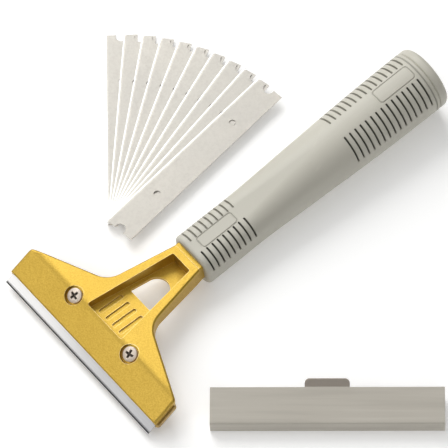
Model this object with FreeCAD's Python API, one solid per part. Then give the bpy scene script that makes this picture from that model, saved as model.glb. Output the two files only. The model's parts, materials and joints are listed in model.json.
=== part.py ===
"""Hand scraper for algae on glass: a 100 mm blade in a cast head on a hollow moulded handle.

Everything is built in the tool's own axes: X along the blade, Y along the handle towards its
end cap with zero at the handle's front rim, Z up with zero on the handle's axis. export_all()
then tilts the finished tool to lie on the ground on the underside of its handle.
"""
import FreeCAD
import Part
import math
import os

Vector = FreeCAD.Vector
Rotation = FreeCAD.Rotation
Placement = FreeCAD.Placement

X_AXIS = Vector(1, 0, 0)
Y_AXIS = Vector(0, 1, 0)
Z_AXIS = Vector(0, 0, 1)
FAR = 200.0                     # longer than any piece, for cutting tools
PAST = 1.0                      # how far a cutting tool runs past a face
CLOSE = 0.01                    # two lengths closer than this are the same

# Blade: a standard 100 mm scraper blade
BLADE_LENGTH = 100.0
BLADE_WIDTH = 15.0
BLADE_THICK = 0.5
BLADE_BEVEL = 1.3
BLADE_EDGE_THICK = 0.08
BLADE_HOLE_PITCH = 50.0
BLADE_HOLE_DIA = 3.2
BLADE_NOTCH_RADIUS = 2.6
BLADE_NOTCH_INSET = 0.7

# Blade plane: the middle of the cutting edge, and how steeply the plane climbs from it
EDGE_Y = -67.7
EDGE_Z = -3.3
SLOPE = 27.0

# Cast head
LIP_SETBACK = 5.6               # blade shown in front of the casting
FRONT_THICK = 3.0               # casting above the blade
CREASE_Y = -50.7                # where the sloping front meets the flat rear
CREASE_SOFTNESS = 9.0
CREASE_SAG = 0.9                # the softened crease is this far below a sharp one at most
HEAD_HALF_WIDTH = 50.5
SHOULDER_HALF_WIDTH = 50.2
SHOULDER_Y = -50.9
SHOULDER_RADIUS = 2.2
WAIST_HALF_WIDTH = 15.0
WAIST_Y = -35.4
WAIST_RADIUS = 11.0
NECK_HALF_WIDTH = 8.2
NECK_TOP = 6.8
NECK_BOTTOM = -3.4
EDGE_SOFTNESS = 1.1
LEDGE_SETBACK = BLADE_WIDTH + 0.15   # the ledge that the blade's back rests against
LEDGE_DROP = 0.3
HEEL_SETBACK = 23.3             # behind the plate's two lobes
HEEL_DROP = 5.8
ROOT_SETBACK = 17.9             # behind the plate's notch, under the recess
ROOT_HALF_WIDTH = 13.8
ROOT_DROP = 3.4
COLLAR_LENGTH = 2.0
COLLAR_STEP = 0.35
COLLAR_RADIUS = 0.9

# Recess in the head, its window, and the plain slots in its floor
RECESS_FRONT_Y = -50.0
RECESS_REAR_Y = -5.4
RECESS_FRONT_HALF = 11.8
RECESS_REAR_HALF = 5.8
RECESS_FLOOR_FRONT = 3.9
RECESS_FLOOR_REAR = -1.2
RECESS_CORNER = 1.0
WINDOW_FRONT_Y = -30.0
WINDOW_SIDE_Y = -20.5
WINDOW_FRONT_HALF = 7.0
WINDOW_REAR_HALF = 5.9
WINDOW_CORNER = 0.9
SLOT_COUNT = 4
SLOT_PITCH = 4.6
SLOT_WIDTH = 2.0
SLOT_END_RADIUS = 0.95
SLOT_FRONT_Y = -47.6
SLOT_REAR_Y = -34.4
SLOT_DEPTH = 0.8

# Clamp screws: M4 pan heads in round counterbores, which draw the clamp plate up
SCREW_SPACING = 38.6
SCREW_SETBACK = 19.2
SCREW_SHANK_DIA = 4.0
SCREW_HEAD_DIA = 7.0
SCREW_HEAD_HEIGHT = 1.9
SCREW_HEAD_CROWN = 0.6
SCREW_HEAD_SOFTNESS = 0.5
SCREW_LENGTH = 6.2
SCREW_TIP_CHAMFER = 0.5
SCREW_TURN = 12.0               # how far each cross is turned from square
SCREW_CLEAR_DIA = 4.4
COUNTERBORE_DIA = 9.0
COUNTERBORE_FLOOR = 0.8
CROSS_LENGTH = 4.7
CROSS_BOTTOM_LENGTH = 2.6
CROSS_WIDTH = 1.2
CROSS_DEPTH = 1.3

# Clamp plate under the blade, with two pegs that locate the blade by its holes
PLATE_FRONT = 4.2
PLATE_REAR = 23.0
PLATE_SIDE_REAR = 17.0
PLATE_HALF_WIDTH = 51.2
PLATE_REAR_HALF_WIDTH = 36.0
PLATE_NOTCH_HALF_WIDTH = 14.2
PLATE_NOTCH_SETBACK = 17.6
PLATE_THICK = 2.0
PLATE_CORNER = 1.5
PLATE_TAPPED_DIA = 4.1
PEG_DIA = 3.0
PEG_RISE = 1.1
PEG_HOLE_DIA = 3.4
PEG_HOLE_DEPTH = 1.5
FULCRUM_WIDTH = 1.4

# Tang of the casting inside the handle, and the screw that holds the handle on it
TANG_HALF_WIDTH = 6.6
TANG_TOP = 4.2
TANG_BOTTOM = -2.9
TANG_LENGTH = 22.0
BULKHEAD_THICK = 4.0
WASHER_DIA = 8.2
WASHER_THICK = 0.8
HANDLE_SCREW_DIA = 4.0
HANDLE_SCREW_HEAD_DIA = 7.4
HANDLE_SCREW_HEAD = 2.4
HANDLE_SCREW_SOFTNESS = 0.8
HANDLE_SCREW_REACH = 14.0

# Handle: station, width, height and corner radius of each section along it
HANDLE_SECTIONS = (
    (0.0, 24.0, 20.8, 7.6),
    (21.0, 24.0, 20.8, 7.6),
    (27.0, 23.9, 21.1, 7.9),
    (33.0, 24.1, 21.8, 8.6),
    (40.0, 24.8, 22.9, 9.7),
    (49.0, 25.7, 24.5, 10.9),
    (61.0, 26.9, 26.5, 12.4),
    (75.0, 28.2, 28.2, 13.8),
    (89.0, 29.4, 29.4, 14.5),
    (103.0, 30.2, 30.2, 14.9),
    (118.0, 30.7, 30.7, 15.15),
    (135.2, 31.0, 31.0, 15.3),
)
HANDLE_LENGTH = 135.2
RIM_RADIUS = 1.8
GROOVE_BEVEL = 0.55

# Grip slots each side of the top, in a front and a rear group
GRIP_PITCH = 3.1
GRIP_SLOT_WIDTH = 0.75
GRIP_SLOT_DEPTH = 1.3
GRIP_INNER_ANGLE = 18.5
FRONT_GRIP_START = 3.5
FRONT_GRIP_COUNT = 9
FRONT_GRIP_OUTER_ANGLE = 72.0
REAR_GRIP_START = 87.1
REAR_GRIP_COUNT = 15
REAR_GRIP_OUTER_ANGLE = 76.0

# Blank bordered panels between the slots, on top of the handle
PANEL_LINE = 0.55
PANEL_LINE_DEPTH = 0.45
PANEL_CORNER = 1.4
FRONT_PANEL = (5.8, 25.6, 3.0)       # first station, last station, half width
REAR_PANEL = (112.5, 133.0, 4.2)

# Hollow of the handle: a magazine for the spare blades and a round driver channel
MAGAZINE_WIDTH = 15.6
MAGAZINE_HEIGHT = 5.6
DRIVER_CHANNEL_DIA = 8.6
MAGAZINE_START = 29.0
SOCKET_DIA = 22.0
SOCKET_DEPTH = 6.0

# End cap: a plug in the socket under a domed end
CAP_RADIUS = 15.5
CAP_BAND = 2.0
CAP_EDGE_RADIUS = 2.4
CAP_DOME = 1.1
PLUG_DIA = 21.9
PLUG_LENGTH = 5.5

# Blade guard: a wedge-shaped channel that slips over the blade, lying loose beside the tool
GUARD_LENGTH = 103.0
GUARD_DEPTH = 16.0
GUARD_FRONT_HEIGHT = 8.0
GUARD_REAR_HEIGHT = 12.0
GUARD_WALL = 1.2
GUARD_NOSE_THICK = 2.2
GUARD_NOSE_RADIUS = 1.0
GUARD_TAB_WIDTH = 19.8
GUARD_TAB_REACH = 3.6
GUARD_TAB_THICK = 1.5
GUARD_TAB_CORNER = 2.2
GUARD_TAB_LEAN = 40.0
GUARD_X = 99.6
GUARD_Y = -6.4
GUARD_TURN = 49.0

# Ten spare blades, fanned out flat beside the tool: they turn about one corner
SPARE_COUNT = 10
SPARE_X = -43.9
SPARE_Y = -13.7
SPARE_FIRST_TURN = -38.8        # turn of the lowest one from lying along X, its edge in front
SPARE_STEP = -4.96


def rounded_outline(corners):
    """Closed wire in the XY plane through (x, y, corner radius) points."""
    count = len(corners)
    edges = []
    start = None
    first = None
    for index in range(count):
        here = Vector(corners[index][0], corners[index][1], 0)
        radius = corners[index][2]
        before = Vector(corners[index - 1][0], corners[index - 1][1], 0)
        after = Vector(corners[(index + 1) % count][0], corners[(index + 1) % count][1], 0)
        back = (before - here).normalize()
        ahead = (after - here).normalize()
        if radius > 0:
            half_angle = back.getAngle(ahead) / 2
            reach = radius / math.tan(half_angle)
            arc_in = here + back * reach
            arc_out = here + ahead * reach
            centre = here + (back + ahead).normalize() * (radius / math.sin(half_angle))
            middle = centre + (here - centre).normalize() * radius
        else:
            arc_in = here
            arc_out = here
        if start is None:
            first = arc_in
        elif start.distanceToPoint(arc_in) > 1e-6:
            edges.append(Part.makeLine(start, arc_in))
        if radius > 0:
            edges.append(Part.Arc(arc_in, middle, arc_out).toShape())
        start = arc_out
    if start.distanceToPoint(first) > 1e-6:
        edges.append(Part.makeLine(start, first))
    return Part.Wire(edges)


def prism(corners, bottom, top):
    """Solid that stands on a rounded outline, from one height to another."""
    face = Part.Face(rounded_outline(corners))
    face.translate(Vector(0, 0, bottom))
    return face.extrude(Vector(0, 0, top - bottom))


def mirrored(half):
    """Both halves of an outline given for +X, from front to back."""
    return list(half) + [(-x, y, radius) for x, y, radius in reversed(half)]


def bar(profile, half_length):
    """Solid bar along X whose section is a list of (y, z) points."""
    points = [Vector(-half_length, y, z) for y, z in profile]
    face = Part.Face(Part.makePolygon(points + points[:1]))
    return face.extrude(Vector(2 * half_length, 0, 0))


def in_blade_plane(shape):
    """Moves a shape drawn about the cutting edge (Y up the slope, Z off the blade) to its place."""
    moved = shape.copy()
    seat = Placement(Vector(0, EDGE_Y, EDGE_Z), Rotation(X_AXIS, SLOPE))
    moved.Placement = seat.multiply(moved.Placement)
    return moved


def blade_point(setback, off):
    """(y, z) in the tool's axes of a point in the blade's own axes."""
    angle = math.radians(SLOPE)
    y = EDGE_Y + setback * math.cos(angle) - off * math.sin(angle)
    z = EDGE_Z + setback * math.sin(angle) + off * math.cos(angle)
    return (y, z)


def casting_top(y):
    """Height of the sloping front of the casting."""
    lip_y, lip_z = blade_point(0.0, FRONT_THICK)
    return lip_z + (y - lip_y) * math.tan(math.radians(SLOPE))


def recess_floor(y):
    """Height of the recess floor at a station."""
    part = (y - RECESS_FRONT_Y) / (RECESS_REAR_Y - RECESS_FRONT_Y)
    return RECESS_FLOOR_FRONT + part * (RECESS_FLOOR_REAR - RECESS_FLOOR_FRONT)


def edges_near(shape, wanted):
    """Edges whose middle satisfies a test on its point."""
    found = []
    for edge in shape.Edges:
        middle = edge.valueAt((edge.FirstParameter + edge.LastParameter) / 2)
        if wanted(middle):
            found.append(edge)
    return found


def dome(radius, base, rise):
    """Arc for a turned profile, from (radius, base) to the axis, with its centre on the axis."""
    ball = (radius ** 2 + rise ** 2) / (2 * rise)
    half_angle = math.asin(radius / ball) / 2
    middle = (ball * math.sin(half_angle), base + rise - ball * (1 - math.cos(half_angle)))
    return (radius, base), middle, (0.0, base + rise)


def blade():
    """One blade, flat on its lower face, cutting edge along X at y = 0."""
    low = -(BLADE_THICK + BLADE_EDGE_THICK) / 2
    high = -(BLADE_THICK - BLADE_EDGE_THICK) / 2
    profile = (
        (0, low), (BLADE_BEVEL, -BLADE_THICK), (BLADE_WIDTH, -BLADE_THICK),
        (BLADE_WIDTH, 0), (BLADE_BEVEL, 0), (0, high),
    )
    body = bar(profile, BLADE_LENGTH / 2)
    middle = BLADE_WIDTH / 2
    for side in (-1, 1):
        hole = Vector(side * BLADE_HOLE_PITCH / 2, middle, -BLADE_THICK - PAST)
        notch = Vector(side * (BLADE_LENGTH / 2 - BLADE_NOTCH_INSET), middle, -BLADE_THICK - PAST)
        depth = BLADE_THICK + 2 * PAST
        body = body.cut(Part.makeCylinder(BLADE_HOLE_DIA / 2, depth, hole))
        body = body.cut(Part.makeCylinder(BLADE_NOTCH_RADIUS, depth, notch))
    return body


def head_blank():
    """Outer form of the casting: its plan outline through its side profile, edges softened."""
    outline = mirrored((
        (HEAD_HALF_WIDTH, EDGE_Y, 0.0),
        (SHOULDER_HALF_WIDTH, SHOULDER_Y, SHOULDER_RADIUS),
        (WAIST_HALF_WIDTH, WAIST_Y, WAIST_RADIUS),
        (NECK_HALF_WIDTH, 0.0, 0.0),
    ))
    profile = (
        blade_point(LIP_SETBACK, 0),
        blade_point(LIP_SETBACK, FRONT_THICK),
        (CREASE_Y, casting_top(CREASE_Y)),
        (0.0, NECK_TOP),
        (0.0, NECK_BOTTOM),
        (RECESS_REAR_Y, NECK_BOTTOM),
        blade_point(HEEL_SETBACK, -HEEL_DROP),
        blade_point(HEEL_SETBACK, -LEDGE_DROP),
        blade_point(LEDGE_SETBACK, -LEDGE_DROP),
        blade_point(LEDGE_SETBACK, 0),
    )
    root_front = blade_point(ROOT_SETBACK, -LEDGE_DROP)
    root_profile = (
        root_front,
        (root_front[0], casting_top(root_front[0]) - FRONT_THICK / 2),
        (WAIST_Y, NECK_TOP - FRONT_THICK / 2),
        (WAIST_Y, recess_floor(WAIST_Y) - FRONT_THICK),
        blade_point(HEEL_SETBACK, -HEEL_DROP),
        blade_point(ROOT_SETBACK, -ROOT_DROP),
    )
    blank = prism(outline, -FAR / 4, FAR / 4).common(bar(profile, FAR / 2))
    blank = blank.fuse(bar(root_profile, ROOT_HALF_WIDTH)).removeSplitter()
    crease_z = casting_top(CREASE_Y)
    crease = edges_near(
        blank, lambda p: abs(p.y - CREASE_Y) < CLOSE and abs(p.z - crease_z) < CLOSE)
    blank = blank.makeFillet(CREASE_SOFTNESS, crease)
    lip_y, lip_z = blade_point(LIP_SETBACK, FRONT_THICK)

    def on_top_rim(point):
        """True on the outline's upper edge, the lip included."""
        rear_top = NECK_TOP + point.y / CREASE_Y * (crease_z - NECK_TOP)
        height = min(casting_top(point.y), rear_top)
        on_side = abs(point.z - height) < CREASE_SAG and abs(point.x) > CLOSE
        on_lip = abs(point.y - lip_y) < CLOSE and abs(point.z - lip_z) < CLOSE
        return on_lip or (on_side and point.y < -PAST / 2)

    return blank.makeFillet(EDGE_SOFTNESS, edges_near(blank, on_top_rim))


def above_floor(sink):
    """Everything above the recess floor, or above a plane sunk below it."""
    front_y = RECESS_FRONT_Y - PAST
    rear_y = RECESS_REAR_Y + PAST
    return bar((
        (front_y, recess_floor(front_y) - sink),
        (rear_y, recess_floor(rear_y) - sink),
        (rear_y, FAR / 4),
        (front_y, FAR / 4),
    ), FAR / 4)


def recess_tool():
    """Pocket in the top of the head, deeper towards the handle."""
    plan = mirrored((
        (RECESS_FRONT_HALF, RECESS_FRONT_Y, RECESS_CORNER),
        (RECESS_REAR_HALF, RECESS_REAR_Y, RECESS_CORNER),
    ))
    return prism(plan, -FAR / 4, FAR / 4).common(above_floor(0.0))


def window_tool():
    """Through window in the recess floor: straight in front, round behind."""
    rear_y = WINDOW_SIDE_Y + WINDOW_REAR_HALF
    start = Vector(WINDOW_REAR_HALF, WINDOW_SIDE_Y, 0)
    end = Vector(-WINDOW_REAR_HALF, WINDOW_SIDE_Y, 0)
    right = Vector(WINDOW_FRONT_HALF, WINDOW_FRONT_Y, 0)
    left = Vector(-WINDOW_FRONT_HALF, WINDOW_FRONT_Y, 0)
    wire = Part.Wire([
        Part.makeLine(right, start),
        Part.Arc(start, Vector(0, rear_y, 0), end).toShape(),
        Part.makeLine(end, left),
        Part.makeLine(left, right),
    ])
    face = Part.Face(wire)
    face.translate(Vector(0, 0, -FAR / 4))
    solid = face.extrude(Vector(0, 0, FAR / 4 + RECESS_FLOOR_FRONT))
    corners = edges_near(solid, lambda p: abs(p.y - WINDOW_FRONT_Y) < CLOSE and abs(p.x) > PAST)
    upright = [edge for edge in corners if abs(edge.tangentAt(edge.FirstParameter).z) > 0.9]
    return solid.makeFillet(WINDOW_CORNER, upright)


def floor_slots():
    """Plain parallel slots sunk in the recess floor."""
    tools = []
    half = SLOT_WIDTH / 2
    for index in range(SLOT_COUNT):
        x = (index - (SLOT_COUNT - 1) / 2) * SLOT_PITCH
        plan = (
            (x + half, SLOT_FRONT_Y, SLOT_END_RADIUS),
            (x + half, SLOT_REAR_Y, SLOT_END_RADIUS),
            (x - half, SLOT_REAR_Y, SLOT_END_RADIUS),
            (x - half, SLOT_FRONT_Y, SLOT_END_RADIUS),
        )
        tools.append(prism(plan, -FAR / 4, FAR / 4).common(above_floor(SLOT_DEPTH)))
    return tools


def tang_block():
    """The tang, from just inside the neck to its end in the handle."""
    return Part.makeBox(
        2 * TANG_HALF_WIDTH, TANG_LENGTH + PAST, TANG_TOP - TANG_BOTTOM,
        Vector(-TANG_HALF_WIDTH, -PAST, TANG_BOTTOM))


def head_casting():
    """Cast head with its neck and the tang that the handle is pushed onto."""
    head = head_blank()
    head = head.cut(recess_tool())
    head = head.cut(window_tool())
    for tool in floor_slots():
        head = head.cut(tool)
    for side in (-1, 1):
        x = side * SCREW_SPACING / 2
        seat = Part.makeCylinder(
            COUNTERBORE_DIA / 2, FAR, Vector(x, SCREW_SETBACK, COUNTERBORE_FLOOR))
        through = Part.makeCylinder(SCREW_CLEAR_DIA / 2, FAR, Vector(x, SCREW_SETBACK, -FAR / 2))
        peg_foot = Vector(side * BLADE_HOLE_PITCH / 2, BLADE_WIDTH / 2, -PAST)
        peg = Part.makeCylinder(PEG_HOLE_DIA / 2, PEG_HOLE_DEPTH + PAST, peg_foot)
        for tool in (seat, through, peg):
            head = head.cut(in_blade_plane(tool))
    collar = prism(mirrored((
        (NECK_HALF_WIDTH + COLLAR_STEP, -COLLAR_LENGTH, 0.0),
        (NECK_HALF_WIDTH + COLLAR_STEP, 0.0, 0.0),
    )), NECK_BOTTOM - COLLAR_STEP, NECK_TOP + COLLAR_STEP)
    collar = collar.makeFillet(COLLAR_RADIUS, [
        edge for edge in collar.Edges if abs(edge.tangentAt(edge.FirstParameter).y) > 0.9])
    head = head.fuse([collar, tang_block()]).removeSplitter()
    screw_tip = TANG_LENGTH + BULKHEAD_THICK - HANDLE_SCREW_REACH
    pilot = Part.makeCylinder(
        HANDLE_SCREW_DIA / 2, HANDLE_SCREW_REACH, Vector(0, screw_tip, 0), Y_AXIS)
    return head.cut(pilot)


def clamp_screw(side):
    """Pan-head cross-recess screw, standing on the counterbore floor."""
    half = SCREW_HEAD_DIA / 2
    rise = SCREW_HEAD_HEIGHT
    side_height = rise - SCREW_HEAD_CROWN
    start, middle, end = [Vector(r, 0, z) for r, z in dome(half, side_height, SCREW_HEAD_CROWN)]
    profile = Part.Wire([
        Part.makeLine(Vector(0, 0, 0), Vector(half, 0, 0)),
        Part.makeLine(Vector(half, 0, 0), start),
        Part.Arc(start, middle, end).toShape(),
        Part.makeLine(end, Vector(0, 0, 0)),
    ])
    head = Part.Face(profile).revolve(Vector(0, 0, 0), Z_AXIS, 360)
    head = head.makeFillet(SCREW_HEAD_SOFTNESS, edges_near(
        head, lambda p: abs(p.z - side_height) < CLOSE))
    bottom = rise - CROSS_DEPTH
    wide = CROSS_LENGTH / 2
    narrow = CROSS_BOTTOM_LENGTH / 2
    corners = (
        Vector(-wide, 0, rise), Vector(-narrow, 0, bottom),
        Vector(narrow, 0, bottom), Vector(wide, 0, rise))
    for turn in (0, 90):
        leaf = Part.Face(Part.makePolygon(corners + corners[:1]))
        leaf.translate(Vector(0, -CROSS_WIDTH / 2, 0))
        leaf = leaf.extrude(Vector(0, CROSS_WIDTH, 0))
        leaf.rotate(Vector(0, 0, 0), Z_AXIS, turn + side * SCREW_TURN)
        head = head.cut(leaf)
    shank = Part.makeCylinder(SCREW_SHANK_DIA / 2, SCREW_LENGTH, Vector(0, 0, -SCREW_LENGTH))
    tip = edges_near(shank, lambda p: abs(p.z + SCREW_LENGTH) < CLOSE)
    shank = shank.makeChamfer(SCREW_TIP_CHAMFER, tip)
    screw = head.fuse(shank)
    screw.translate(Vector(side * SCREW_SPACING / 2, SCREW_SETBACK, COUNTERBORE_FLOOR))
    return in_blade_plane(screw)


def clamp_plate():
    """Plate that pinches the blade, rocking on a fulcrum rib along its rear edge."""
    top = -BLADE_THICK
    plate = prism(mirrored((
        (PLATE_HALF_WIDTH, PLATE_FRONT, PLATE_CORNER),
        (PLATE_HALF_WIDTH, PLATE_SIDE_REAR, PLATE_CORNER),
        (PLATE_REAR_HALF_WIDTH, PLATE_REAR, PLATE_CORNER),
        (PLATE_NOTCH_HALF_WIDTH, PLATE_REAR, PLATE_CORNER),
        (PLATE_NOTCH_HALF_WIDTH, PLATE_NOTCH_SETBACK, 0.0),
    )), top - PLATE_THICK, top)
    rib_length = PLATE_REAR_HALF_WIDTH - PLATE_NOTCH_HALF_WIDTH - 2 * PLATE_CORNER
    for side in (-1, 1):
        rib_middle = side * (PLATE_REAR_HALF_WIDTH + PLATE_NOTCH_HALF_WIDTH) / 2
        plate = plate.fuse(Part.makeBox(
            rib_length, FULCRUM_WIDTH, BLADE_THICK - LEDGE_DROP,
            Vector(rib_middle - rib_length / 2, PLATE_REAR - FULCRUM_WIDTH, top)))
        peg = Vector(side * BLADE_HOLE_PITCH / 2, BLADE_WIDTH / 2, top)
        plate = plate.fuse(Part.makeCylinder(PEG_DIA / 2, BLADE_THICK + PEG_RISE, peg))
        hole = Vector(side * SCREW_SPACING / 2, SCREW_SETBACK, top - PLATE_THICK - PAST)
        plate = plate.cut(Part.makeCylinder(PLATE_TAPPED_DIA / 2, PLATE_THICK + 2 * PAST, hole))
    return in_blade_plane(plate)


def handle_form(inset):
    """Lofted outer form of the handle, drawn in by an inset all round."""
    wires = []
    for station, width, height, radius in HANDLE_SECTIONS:
        half_width = width / 2 - inset
        half_height = height / 2 - inset
        corner = radius - inset
        wire = rounded_outline((
            (half_width, -half_height, corner), (half_width, half_height, corner),
            (-half_width, half_height, corner), (-half_width, -half_height, corner)))
        wire.Placement = Placement(Vector(0, station, 0), Rotation(X_AXIS, 90))
        wires.append(wire)
    return Part.makeLoft(wires, True, True)


def grip_wedge(station, inner_angle, outer_angle, side):
    """Sector that cuts one grip slot; angles are from the top of the handle."""
    points = [Vector(0, 0, 0)]
    steps = 4
    for step in range(steps + 1):
        angle = math.radians(inner_angle + (outer_angle - inner_angle) * step / steps)
        points.append(Vector(side * FAR / 8 * math.sin(angle), 0, FAR / 8 * math.cos(angle)))
    face = Part.Face(Part.makePolygon(points + points[:1]))
    face.translate(Vector(0, station - GRIP_SLOT_WIDTH / 2, 0))
    return face.extrude(Vector(0, GRIP_SLOT_WIDTH, 0))


def grip_wedges():
    """All the grip slots of both groups."""
    wedges = []
    groups = (
        (FRONT_GRIP_START, FRONT_GRIP_COUNT, FRONT_GRIP_OUTER_ANGLE),
        (REAR_GRIP_START, REAR_GRIP_COUNT, REAR_GRIP_OUTER_ANGLE),
    )
    for start, count, outer_angle in groups:
        for index in range(count):
            station = start + index * GRIP_PITCH
            for side in (-1, 1):
                wedges.append(grip_wedge(station, GRIP_INNER_ANGLE, outer_angle, side))
    return wedges


def panel_border(panel):
    """Frame-shaped prism that engraves the border line of a blank panel."""
    first, last, half = panel
    inner = PANEL_LINE
    outer_plan = mirrored(((half, first, PANEL_CORNER), (half, last, PANEL_CORNER)))
    inner_plan = mirrored((
        (half - inner, first + inner, PANEL_CORNER - inner),
        (half - inner, last - inner, PANEL_CORNER - inner)))
    return prism(outer_plan, 0, FAR / 8).cut(prism(inner_plan, -PAST, FAR / 4))


def handle_grip():
    """Hollow moulded handle with its grip slots, panels, tang pocket and blade magazine."""
    outer = handle_form(0.0)
    front_rim = edges_near(outer, lambda p: abs(p.y) < CLOSE)
    outer = outer.makeFillet(RIM_RADIUS, front_rim)
    rear_rim = edges_near(outer, lambda p: abs(p.y - HANDLE_LENGTH) < CLOSE)
    outer = outer.makeChamfer(GROOVE_BEVEL, rear_rim)
    borders = [panel_border(FRONT_PANEL), panel_border(REAR_PANEL)]
    engraved = outer.cut(borders)
    engraved = engraved.fuse(handle_form(PANEL_LINE_DEPTH).common(engraved_zone()))
    slotted = engraved.cut(grip_wedges())
    handle = slotted.fuse(handle_form(GRIP_SLOT_DEPTH).common(core_zone())).removeSplitter()
    hollow = [
        tang_block(),
        Part.makeCylinder(HANDLE_SCREW_DIA / 2, FAR / 4, Vector(0, 0, 0), Y_AXIS),
        Part.makeCylinder(
            DRIVER_CHANNEL_DIA / 2, FAR, Vector(0, TANG_LENGTH + BULKHEAD_THICK, 0), Y_AXIS),
        Part.makeBox(
            MAGAZINE_WIDTH, FAR, MAGAZINE_HEIGHT,
            Vector(
                -MAGAZINE_WIDTH / 2, MAGAZINE_START, -MAGAZINE_HEIGHT / 2)),
        Part.makeCylinder(
            SOCKET_DIA / 2, FAR, Vector(0, HANDLE_LENGTH - SOCKET_DEPTH, 0), Y_AXIS),
    ]
    return handle.cut(hollow)


def core_zone():
    """Stretch of the handle that the slot floors are rebuilt in, clear of its softened ends."""
    return Part.makeBox(
        FAR, HANDLE_LENGTH - 2 * RIM_RADIUS, FAR, Vector(-FAR / 2, RIM_RADIUS, -FAR / 2))


def engraved_zone():
    """Upper half of that stretch, that the panel lines are rebuilt in."""
    return Part.makeBox(
        FAR, HANDLE_LENGTH - 2 * RIM_RADIUS, FAR / 2, Vector(-FAR / 2, RIM_RADIUS, 0))


def end_cap():
    """Domed cap with the plug that closes the handle."""
    base = HANDLE_LENGTH
    band = base + GROOVE_BEVEL + CAP_BAND
    edge = band + CAP_EDGE_RADIUS
    inner = CAP_RADIUS - CAP_EDGE_RADIUS
    plug_end = base - PLUG_LENGTH
    lean = CAP_EDGE_RADIUS * (1 - math.cos(math.radians(45)))
    corner = Vector(CAP_RADIUS - lean, edge - lean, 0)
    dome_start, dome_middle, dome_end = [Vector(r, y, 0) for r, y in dome(inner, edge, CAP_DOME)]
    outline = Part.makePolygon([
        dome_end,
        Vector(0, plug_end, 0),
        Vector(PLUG_DIA / 2, plug_end, 0),
        Vector(PLUG_DIA / 2, base, 0),
        Vector(CAP_RADIUS - GROOVE_BEVEL, base, 0),
        Vector(CAP_RADIUS, base + GROOVE_BEVEL, 0),
        Vector(CAP_RADIUS, band, 0),
    ])
    edge_arc = Part.Arc(Vector(CAP_RADIUS, band, 0), corner, dome_start).toShape()
    dome_arc = Part.Arc(dome_start, dome_middle, dome_end).toShape()
    profile = Part.Wire(outline.Edges + [edge_arc, dome_arc])
    return Part.Face(profile).revolve(Vector(0, 0, 0), Y_AXIS, 360)


def handle_washer():
    """Flat washer under the handle screw's head."""
    seat = TANG_LENGTH + BULKHEAD_THICK
    disc = Part.makeCylinder(WASHER_DIA / 2, WASHER_THICK, Vector(0, seat, 0), Y_AXIS)
    hole = Part.makeCylinder(HANDLE_SCREW_DIA / 2, WASHER_THICK, Vector(0, seat, 0), Y_AXIS)
    return disc.cut(hole)


def handle_screw():
    """Screw through the handle's bulkhead into the end of the tang."""
    seat = TANG_LENGTH + BULKHEAD_THICK + WASHER_THICK
    head = Part.makeCylinder(
        HANDLE_SCREW_HEAD_DIA / 2, HANDLE_SCREW_HEAD, Vector(0, seat, 0), Y_AXIS)
    head = head.makeFillet(HANDLE_SCREW_SOFTNESS, edges_near(
        head, lambda p: abs(p.y - seat - HANDLE_SCREW_HEAD) < CLOSE))
    length = HANDLE_SCREW_REACH + WASHER_THICK
    shank = Part.makeCylinder(HANDLE_SCREW_DIA / 2, length, Vector(0, seat - length, 0), Y_AXIS)
    screw = head.fuse(shank)
    for turn in (0, 90):
        leaf = Part.makeBox(
            CROSS_LENGTH, CROSS_DEPTH, CROSS_WIDTH,
            Vector(-CROSS_LENGTH / 2, seat + HANDLE_SCREW_HEAD - CROSS_DEPTH, -CROSS_WIDTH / 2))
        leaf.rotate(Vector(0, 0, 0), Y_AXIS, turn)
        screw = screw.cut(leaf)
    return screw


def spare_blade(index):
    """One spare of the fan on the ground, counted up, with its cutting edge to the left."""
    spare = blade()
    spare.translate(Vector(-BLADE_LENGTH / 2, 0, (index + 1) * BLADE_THICK))
    spare.rotate(Vector(0, 0, 0), Z_AXIS, SPARE_FIRST_TURN + index * SPARE_STEP)
    spare.translate(Vector(SPARE_X, SPARE_Y, 0))
    return spare


def blade_guard():
    """Guard channel drawn flat on the ground, closed in front (-Y) and open behind."""
    half = GUARD_LENGTH / 2
    depth = GUARD_DEPTH
    wall = GUARD_WALL
    shell = bar((
        (0, 0), (depth, 0), (depth, GUARD_REAR_HEIGHT), (0, GUARD_FRONT_HEIGHT)), half)
    nose = edges_near(shell, lambda p: abs(p.x) < CLOSE and p.y < CLOSE)
    shell = shell.makeFillet(GUARD_NOSE_RADIUS, nose)
    channel = bar((
        (GUARD_NOSE_THICK, wall), (depth + PAST, wall), (depth + PAST, GUARD_REAR_HEIGHT - wall),
        (GUARD_NOSE_THICK, GUARD_FRONT_HEIGHT - wall)), half - wall)
    shell = shell.cut(channel)
    tab = prism(mirrored((
        (GUARD_TAB_WIDTH / 2, -wall, 0.0),
        (GUARD_TAB_WIDTH / 2, GUARD_TAB_REACH, GUARD_TAB_CORNER),
    )), -GUARD_TAB_THICK, 0)
    tab.rotate(Vector(0, 0, 0), X_AXIS, GUARD_TAB_LEAN)
    tab.translate(Vector(0, depth, GUARD_REAR_HEIGHT))
    return shell.fuse(tab).removeSplitter()


def resting_tilt():
    """Angle between the handle's axis and the ground that the underside of the handle lies on."""
    front_drop = HANDLE_SECTIONS[0][2] / 2
    slopes = [
        (height / 2 - front_drop) / (station - RIM_RADIUS)
        for station, width, height, radius in HANDLE_SECTIONS[1:]]
    return math.degrees(math.atan(max(slopes)))


def on_ground(shape):
    """Lays a piece of the tool, given in the tool's axes, at the tilt it rests at."""
    moved = shape.copy()
    moved.rotate(Vector(0, 0, 0), X_AXIS, resting_tilt())
    return moved


def tool_pieces():
    """Every piece of the tool by name, in the tool's axes."""
    return {
        "head_casting": head_casting(),
        "blade": in_blade_plane(blade()),
        "clamp_plate": clamp_plate(),
        "clamp_screw_left": clamp_screw(-1),
        "clamp_screw_right": clamp_screw(1),
        "handle_grip": handle_grip(),
        "handle_screw": handle_screw(),
        "handle_washer": handle_washer(),
        "end_cap": end_cap(),
    }


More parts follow.
